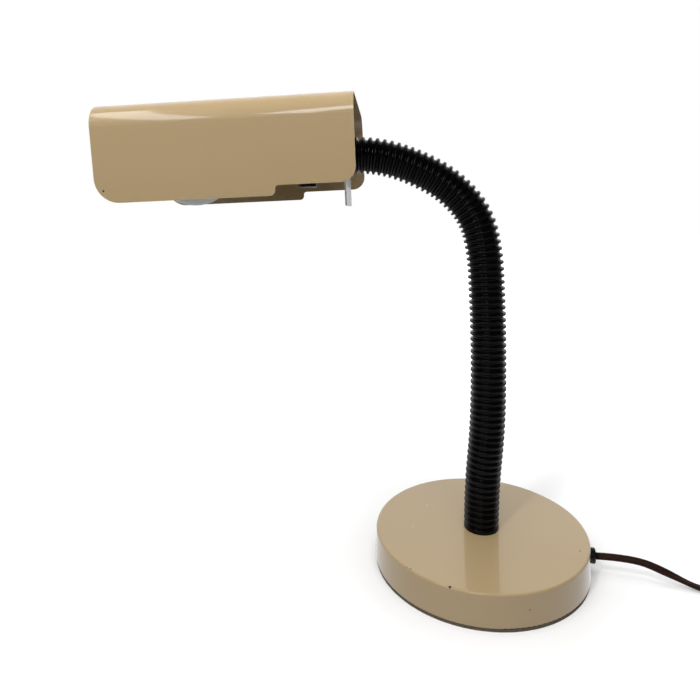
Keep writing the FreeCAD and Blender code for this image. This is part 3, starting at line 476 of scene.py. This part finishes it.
def sleeve_piece(name, spans, cuff=False):
    """A closed ribbed tube over (length, first ring, end ring) spans; a cuff starts plain."""
    outer, inner = [], []
    for length, first, end in spans:
        for ring in range(first, end):
            for distance, radius in ring_profile()[:-1]:
                if cuff and ring == 0 and distance < RING_PITCH / 2:
                    radius = RING_RADIUS
                outer.append((length, ring * RING_PITCH + distance, radius))
            inner.append((length, ring * RING_PITCH, SLEEVE_INNER_RADIUS))
    length, _, end = spans[-1]
    outer.append((length, end * RING_PITCH, VALLEY_RADIUS))
    inner.append((length, end * RING_PITCH, SLEEVE_INNER_RADIUS))
    rows = outer + inner[::-1]
    points = [point for row in rows for point in neck_circle(*row)]
    return new_piece(name, points, sheet_faces(len(rows), RING_SIDES, closed_rows=True), VINYL)


def add_sleeves():
    """One piece across each hinge of the neck, from the middle of a length to the next one's."""
    foot = sleeve_piece("neck_sleeve_00", [(NECK[0], 0, HALF_RINGS)], cuff=True)
    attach(foot, "root")
    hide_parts("sleeve_01")
    for k in range(1, LENGTHS):
        below, above = NECK[k - 1], NECK[k]
        piece = sleeve_piece(f"neck_sleeve_{k:02d}",
                             [(below, HALF_RINGS, RINGS_PER_LENGTH), (above, 0, HALF_RINGS)])
        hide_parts(f"sleeve_{k:02d}", f"sleeve_{k + 1:02d}")
        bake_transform(piece)
    top = sleeve_piece(f"neck_sleeve_{LENGTHS:02d}", [(NECK[-1], HALF_RINGS, LAST_LENGTH_RINGS)])
    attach(top, "head")
    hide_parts(f"sleeve_{LENGTHS:02d}")


# Cord
def on_exit_line(distance):
    angle = math.radians(CORD_EXIT_ANGLE)
    return Vector((distance * math.cos(angle), distance * math.sin(angle), CORD_EXIT_HEIGHT))


def wall_radius(height):
    """The cover's outer radius at a height, less towards the top."""
    return BASE_RADIUS - BASE_DRAFT * (height - PAD_THICKNESS) / (BASE_HEIGHT - PAD_THICKNESS)


EXIT_RADIUS = wall_radius(CORD_EXIT_HEIGHT) + BUSH_LENGTH
EXIT = on_exit_line(EXIT_RADIUS)
CORD_ROUTE = [
    EXIT,
    on_exit_line(EXIT_RADIUS + RUN_START) + Vector((0, 0, 0.0034)),
    Vector((0.1635, -0.0375, 0.0135)),
    Vector((0.1905, -0.0435, FLAT_HEIGHT)),
    Vector((0.2140, -0.0495, COIL_HEIGHT)),
    Vector((0.2360, -0.0540, COIL_HEIGHT)),
]


def eased(share):
    """A share kept from 0 to 1 that starts and ends softly."""
    share = min(max(share, 0), 1)
    return share * share * (3 - 2 * share)


def coil_point(turns, scale=1.0):
    """A point of the coil after so many turns, about the coil's own axis."""
    wound = turns if turns < COIL_TURNS_IN else 2 * COIL_TURNS_IN - turns
    radius = (COIL_RADIUS - COIL_PITCH * wound) * scale
    climb = eased((turns - COIL_TURNS_IN) / COIL_CLIMB_TURNS + 0.5)
    angle = -2 * math.pi * turns
    return Vector((radius * math.cos(angle), radius * math.sin(angle), FLAT_LAYER * climb))


def coil_matrix():
    """Puts the coil's start on the end of the run."""
    heading = Vector((-COIL_PITCH, -2 * math.pi * COIL_RADIUS, 0))
    ahead = CORD_ROUTE[-1] - CORD_ROUTE[-2]
    swing = math.atan2(ahead.y, ahead.x) - math.atan2(heading.y, heading.x)
    turn = Matrix.Rotation(swing, 4, "Z")
    first = CORD_ROUTE[-1] + ahead.normalized() * (2 * CORD_RADIUS)
    return Matrix.Translation(first - turn @ coil_point(0)) @ turn


def tail_points(place):
    """From the coil's end to the plug's cord side."""
    heading = place.to_3x3() @ (coil_point(COIL_TURNS) - coil_point(COIL_TURNS - 0.001))
    flat = Vector((heading.x, heading.y, 0)).normalized()
    start = place @ coil_point(COIL_TURNS) + flat * (2 * CORD_RADIUS)
    first = start + flat * TAIL_RUNS[0]
    second = first + flat * TAIL_RUNS[1]
    second.z = PLUG_HEIGHT / 2
    return [start, first, second, second + flat * TAIL_RUNS[2]]


def cord_points():
    place = coil_matrix()
    count = round(COIL_TURNS * COIL_POINTS_PER_TURN)
    outset = 1 / math.cos(math.pi / COIL_POINTS_PER_TURN)
    coil = [place @ coil_point(k / COIL_POINTS_PER_TURN, outset) for k in range(1, count + 1)]
    return CORD_ROUTE + [place @ coil_point(0)] + coil + tail_points(place)


def nurbs_line(points, steps):
    """The smooth line that these control points give, as closely spaced points."""
    curve = bpy.data.curves.new("route", "CURVE")
    curve.dimensions = "3D"
    curve.resolution_u = steps
    spline = curve.splines.new("NURBS")
    spline.points.add(len(points) - 1)
    for spot, point in zip(spline.points, points):
        spot.co = (*point, 1)
    spline.order_u = 3
    spline.use_endpoint_u = True
    holder = bpy.data.objects.new("route", curve)
    mesh = bpy.data.meshes.new_from_object(holder)
    line = [vertex.co.copy() for vertex in mesh.vertices]
    bpy.data.objects.remove(holder)
    bpy.data.curves.remove(curve)
    bpy.data.meshes.remove(mesh)
    return line


def cord_section():
    """The outline of a flat two-wire cord, wide along the first coordinate."""
    sweep = math.radians(CORD_LOBE_SWEEP)
    outline = []
    for side in (1, -1):
        for k in range(CORD_LOBE_STEPS + 1):
            angle = -sweep + 2 * sweep * k / CORD_LOBE_STEPS
            outline.append((side * (CORD_LOBE_REACH + CORD_LOBE_RADIUS * math.cos(angle)),
                            side * CORD_LOBE_RADIUS * math.sin(angle)))
    return outline


def add_cord():
    line = nurbs_line(cord_points(), CORD_STEPS)
    outline = cord_section()
    gone = [0.0]
    for before, after in zip(line, line[1:]):
        gone.append(gone[-1] + (after - before).length)
    points = []
    for i, spot in enumerate(line):
        along = (line[min(i + 1, len(line) - 1)] - line[max(i - 1, 0)]).normalized()
        side = UP.cross(along).normalized()
        over = along.cross(side)
        angle = math.pi / 2 * (1 - eased((gone[i] - UPRIGHT_RUN) / TWIST_RUN))
        wide = side * math.cos(angle) + over * math.sin(angle)
        thin = over * math.cos(angle) - side * math.sin(angle)
        points += [spot + wide * u + thin * v for u, v in outline]
    columns = len(outline)
    faces = sheet_faces(len(line), columns)
    faces += [tuple(range(columns))[::-1], tuple(range(len(points) - columns, len(points)))]
    piece = new_piece("cord", points, faces, JACKET)
    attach(piece, "root")
    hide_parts("cord_run", "cord_coil", "cord_tail")
    add_bush()
    add_plug(line)
    add_tie()


def slot_reach(angle, margin):
    """How far a slot round the upright flat cord reaches from its middle in a direction."""
    across, up = abs(math.cos(angle)), abs(math.sin(angle))
    radius = CORD_LOBE_RADIUS + margin
    if up * radius <= across * CORD_LOBE_REACH:
        return radius / across
    return CORD_LOBE_REACH * up + math.sqrt(radius ** 2 - (CORD_LOBE_REACH * across) ** 2)


def add_bush():
    """The cord's bush: a flange on each side of the cover, and a slot for the cord in front."""
    aim = math.radians(CORD_EXIT_ANGLE)
    out = Vector((math.cos(aim), math.sin(aim), 0))
    side = Vector((-math.sin(aim), math.cos(aim), 0))
    inside = wall_radius(CORD_EXIT_HEIGHT + BUSH_INNER_RADIUS) - COVER_WALL
    inner_end = math.sqrt(inside ** 2 - BUSH_INNER_RADIUS ** 2) - BUSH_CLEARANCE
    back = inner_end - BUSH_INNER_LENGTH
    bore = CORD_RADIUS + BUSH_CLEARANCE
    front = EXIT_RADIUS + BUSH_LIP
    slot_floor = EXIT_RADIUS + SLOT_FLOOR
    rows = [(back, bore), (back, BUSH_INNER_RADIUS - BUSH_BACK_EDGE),
            (back + BUSH_BEVEL, BUSH_INNER_RADIUS - BUSH_BEVEL),
            (back + BUSH_BACK_EDGE, BUSH_INNER_RADIUS), (inner_end, BUSH_INNER_RADIUS),
            (inner_end, BUSH_NECK_RADIUS), (None, BUSH_NECK_RADIUS),
            (None, BUSH_RADIUS - BUSH_STEP)]
    for k in range(BUSH_EDGE_STEPS + 1):
        turn = math.pi / 2 * k / BUSH_EDGE_STEPS
        rows.append((front - BUSH_EDGE * (1 - math.sin(turn)),
                     BUSH_RADIUS - BUSH_EDGE * (1 - math.cos(turn))))
    slot_rows = [(front - behind, margin) for behind, margin in SLOT_EDGE]
    slot_rows.append((slot_floor, SLOT_MARGIN))
    points = []
    for along, radius in rows + slot_rows + [(slot_floor, bore)]:
        for k in range(BUSH_SIDES):
            angle = 2 * math.pi * k / BUSH_SIDES
            reach = slot_reach(angle, radius) if (along, radius) in slot_rows else radius
            across, up = reach * math.cos(angle), reach * math.sin(angle)
            distance = along
            if along is None:
                wall = wall_radius(CORD_EXIT_HEIGHT + up)
                distance = math.sqrt(wall ** 2 - across ** 2) + BUSH_COVER_GAP
            points.append(out * distance + side * across + UP * (CORD_EXIT_HEIGHT + up))
    faces = sheet_faces(len(points) // BUSH_SIDES, BUSH_SIDES, closed_rows=True)
    bush = new_piece("cord_bush", points, faces, PLASTIC)
    bush.data.set_sharp_from_angle(angle=math.radians(40))
    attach(bush, "root")
    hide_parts("strain_relief")
    return bush


def repeated(rows, count, start, pitch, growth=(0, 0)):
    """Outline rows set out at a pitch, each time grown in half width and half height."""
    return [(start + pitch * k + along, half_width + growth[0] * k, half_height + growth[1] * k)
            for k in range(count) for along, half_width, half_height in rows]


def add_plug(line):
    """A moulded flat plug: ribbed tail, waist, grip ridges and a rim round its front."""
    place = coil_matrix()
    flat = tail_points(place)[-1] - tail_points(place)[-2]
    flat.normalize()
    side = UP.cross(flat)
    start = line[-1]
    rows = PLUG_START + repeated(PLUG_RIB, PLUG_RIBS, PLUG_RIB_START, PLUG_RIB_PITCH,
                                 PLUG_RIB_GROWTH)
    rows += PLUG_WAIST + repeated(PLUG_RIDGE, PLUG_RIDGES, PLUG_RIDGE_START, PLUG_RIDGE_PITCH)
    rows += PLUG_FRONT
    points = []
    for along, half_width, half_height in rows:
        for k in range(PLUG_SIDES):
            angle = 2 * math.pi * k / PLUG_SIDES
            across = math.copysign(abs(math.cos(angle)) ** PLUG_SQUARENESS, math.cos(angle))
            up = math.copysign(abs(math.sin(angle)) ** PLUG_SQUARENESS, math.sin(angle))
            points.append(start + flat * (along * MM) + side * (half_width * MM * across)
                          + UP * (half_height * MM * up))
    faces = sheet_faces(len(rows), PLUG_SIDES)
    faces += [tuple(range(PLUG_SIDES))[::-1],
              tuple(range(len(points) - PLUG_SIDES, len(points)))]
    plug = new_piece("plug_moulding", points, faces, PLUG_VINYL)
    plug.data.set_sharp_from_angle(angle=math.radians(50))
    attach(plug, "root")
    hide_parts("plug_body")
    return plug


def add_tie():
    """A hook-and-loop strap round the turns, with its end laid over itself on top."""
    inner = COIL_RADIUS - COIL_PITCH * COIL_TURNS_IN - CORD_WIDTH / 2 - TIE_ROOM
    outer = COIL_RADIUS + CORD_WIDTH / 2 + TIE_ROOM
    high = COIL_HEIGHT + FLAT_LAYER + CORD_LOBE_RADIUS + TIE_LIFT
    top = high + TIE_THICKNESS
    corners = [(inner + TIE_UNDER_END, high, 0), (inner, high, TIE_BEND),
               (inner, TIE_LOW, TIE_BEND), (outer, TIE_LOW, TIE_BEND),
               (outer, high, TIE_BEND), (inner + TIE_OVER_START, high, 0)]
    around = rounded_line(corners, TIE_BEND_STEPS)
    around += [Vector((inner + TIE_OVER_STEP, top)), Vector((inner + TIE_OVER_END, top))]
    place = coil_matrix()
    centre = place.translation
    swing = Matrix.Rotation(math.radians(TIE_ANGLE), 3, "Z")
    points = []
    for i, spot in enumerate(around):
        ahead = (around[min(i + 1, len(around) - 1)] - around[max(i - 1, 0)]).normalized()
        outward = Vector((-ahead.y, ahead.x)) * -1
        for across, lift in ((-1, 0), (1, 0), (1, 1), (-1, 1)):
            at = spot + outward * (TIE_THICKNESS * lift)
            turned = swing @ Vector((at.x, across * TIE_WIDTH / 2, 0))
            points.append(Vector((centre.x + turned.x, centre.y + turned.y, at.y)))
    faces = sheet_faces(len(around), 4)
    faces += [(3, 2, 1, 0), tuple(range(len(points) - 4, len(points)))]
    tie = new_piece("tie_strap", points, faces, STRAP)
    tie.data.set_sharp_from_angle(angle=math.radians(40))
    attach(tie, "root")
    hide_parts("cord_tie")
    return tie


# Surroundings
def shader(tree, kind, **values):
    """A node's first output, with its inputs set to values or linked from other outputs."""
    made = tree.nodes.new("ShaderNode" + kind)
    for key, value in values.items():
        if isinstance(value, bpy.types.NodeSocket):
            tree.links.new(value, made.inputs[key])
        else:
            made.inputs[key].default_value = value
    return made.outputs[0]


def joined(tree, kind, *sources):
    """A node's first output, with other outputs linked to its inputs in their order."""
    made = tree.nodes.new("ShaderNode" + kind)
    for source, target in zip(sources, made.inputs):
        tree.links.new(source, target)
    return made.outputs[0]


def ramp(tree, value, start, end, low, high):
    """A value between start and end stretched to run from low to high."""
    made = tree.nodes.new("ShaderNodeMapRange")
    for key, number in zip(("From Min", "From Max", "To Min", "To Max"), (start, end, low, high)):
        made.inputs[key].default_value = number
    tree.links.new(value, made.inputs["Value"])
    return made.outputs["Result"]


def ray_share(tree, *kinds):
    """1 for rays of any of these kinds."""
    path = tree.nodes.new("ShaderNodeLightPath")
    total = path.outputs[kinds[0]]
    for kind in kinds[1:]:
        both = tree.nodes.new("ShaderNodeMath")
        both.operation = "MAXIMUM"
        tree.links.new(total, both.inputs[0])
        tree.links.new(path.outputs[kind], both.inputs[1])
        total = both.outputs[0]
    return total


def floor_finish():
    """White where it is lit, with the lamp's soft shadow, and pure white further away."""
    material = bpy.data.materials.new("floor")
    material.use_nodes = True
    tree = material.node_tree
    tree.nodes.clear()
    place = tree.nodes.new("ShaderNodeTexCoord")
    length = tree.nodes.new("ShaderNodeVectorMath")
    length.operation = "LENGTH"
    tree.links.new(place.outputs["Object"], length.inputs[0])
    distance = length.outputs["Value"]
    plain = shader(tree, "BsdfDiffuse", Color=(FLOOR_BOUNCE, FLOOR_BOUNCE, FLOOR_BOUNCE, 1))
    shaded = shader(tree, "BsdfDiffuse", Color=(FLOOR_SHADE, FLOOR_SHADE, FLOOR_SHADE, 1))
    glow = shader(tree, "Emission",
                  Strength=ramp(tree, distance, GLOW_START, GLOW_END, GLOW_NEAR, 1))
    mirrored = shader(tree, "Emission",
                      Strength=ramp(tree, distance, MIRROR_START, MIRROR_END, 1, MIRROR_FAR))
    shown = joined(tree, "MixShader", ray_share(tree, "Is Camera Ray", "Is Transmission Ray"),
                   plain, joined(tree, "AddShader", shaded, glow))
    final = joined(tree, "MixShader", ray_share(tree, "Is Glossy Ray"), shown, mirrored)
    output = tree.nodes.new("ShaderNodeOutputMaterial")
    tree.links.new(final, output.inputs["Surface"])
    return material


def add_floor():
    reach = FLOOR_REACH
    corners = [(-reach, -reach, 0), (reach, -reach, 0), (reach, reach, 0), (-reach, reach, 0)]
    new_piece("floor", corners, [(0, 1, 2, 3)], floor_finish())


def background(tree, strength):
    return shader(tree, "Background", Color=WHITE, Strength=strength)


def add_world():
    """White to the camera; gloss sees a white room that is dim on the camera's side."""
    world = bpy.data.worlds.new("studio")
    bpy.context.scene.world = world
    world.use_nodes = True
    tree = world.node_tree
    tree.nodes.clear()
    place = tree.nodes.new("ShaderNodeTexCoord")
    split = tree.nodes.new("ShaderNodeSeparateXYZ")
    tree.links.new(place.outputs["Generated"], split.inputs[0])
    depth = ramp(tree, split.outputs["Y"], ROOM_START, ROOM_END, ROOM_FRONT, 1)
    unseen = joined(tree, "MixShader", ray_share(tree, "Is Glossy Ray", "Is Transmission Ray"),
                    background(tree, AMBIENT), background(tree, depth))
    final = joined(tree, "MixShader", ray_share(tree, "Is Camera Ray"), unseen,
                   background(tree, 1))
    output = tree.nodes.new("ShaderNodeOutputWorld")
    tree.links.new(final, output.inputs["Surface"])


def add_light(name, place, aim, width, height, watts, along=(1, 0, 0), mirrored=False):
    """A lamp whose width lies along a direction; gloss shows it only if it is mirrored."""
    light = bpy.data.lights.new(name, "AREA")
    light.shape = "RECTANGLE"
    light.size = width
    light.size_y = height
    light.energy = watts
    holder = bpy.data.objects.new(name, light)
    back = (Vector(place) - Vector(aim)).normalized()
    rise = back.cross(Vector(along)).normalized()
    turn = Matrix((rise.cross(back), rise, back)).transposed().to_4x4()
    holder.matrix_world = Matrix.Translation(place) @ turn
    holder.visible_glossy = mirrored
    bpy.context.scene.collection.objects.link(holder)


def add_lights():
    """The two strips are what the shade's bend reflects as a broad and a thin streak."""
    add_light("key", (-0.50, -0.78, 1.15), (-0.05, 0, 0.15), 0.12, 0.12, 5)
    add_light("left_strip", (-0.79, -0.75, 1.26), (-0.28, -0.05, 0.43), 1.23, 0.16, 3.6,
              along=(0.152, -0.731, -0.521), mirrored=True)
    add_light("right_strip", (-0.27, -1.17, 1.08), (-0.15, -0.05, 0.43), 0.47, 0.22, 2.5,
              along=(0.216, 0.126, 0.254), mirrored=True)
    add_light("over", (0.05, -0.30, 1.05), (-0.15, 0, 0.40), 0.3, 0.3, 1.9)
    add_light("top", (-0.1, 0.1, 1.9), (-0.05, 0, 0.2), 0.8, 0.8, 4.5)
    add_light("back", (0.1, 1.3, 0.95), (-0.1, 0, 0.3), 0.9, 0.6, 2.6)
    add_light("fill", (0.2, -2.2, 0.7), (-0.05, 0, 0.2), 1.8, 1.0, 2.7)


def add_camera():
    camera = bpy.data.cameras.new("camera")
    camera.sensor_width = SENSOR
    camera.lens = SENSOR * FOCAL_PIXELS / PHOTO_SIDE
    camera.shift_x = 0.5 - CENTRE_PIXEL[0] / PHOTO_SIDE
    camera.shift_y = CENTRE_PIXEL[1] / PHOTO_SIDE - 0.5
    camera.clip_start = 0.01
    holder = bpy.data.objects.new("camera", camera)
    bpy.context.scene.collection.objects.link(holder)
    turn = (Matrix.Rotation(math.radians(CAMERA_YAW), 4, "Z")
            @ Matrix.Rotation(math.radians(90 - CAMERA_PITCH), 4, "X")
            @ Matrix.Rotation(math.radians(CAMERA_ROLL), 4, "Z"))
    holder.matrix_world = Matrix.Translation(CAMERA_PLACE) @ turn
    bpy.context.scene.camera = holder


dress_nodes()
add_camera()
add_cord()
add_sleeves()
add_floor()
add_world()
add_lights()
bpy.context.scene.view_settings.view_transform = "Standard"
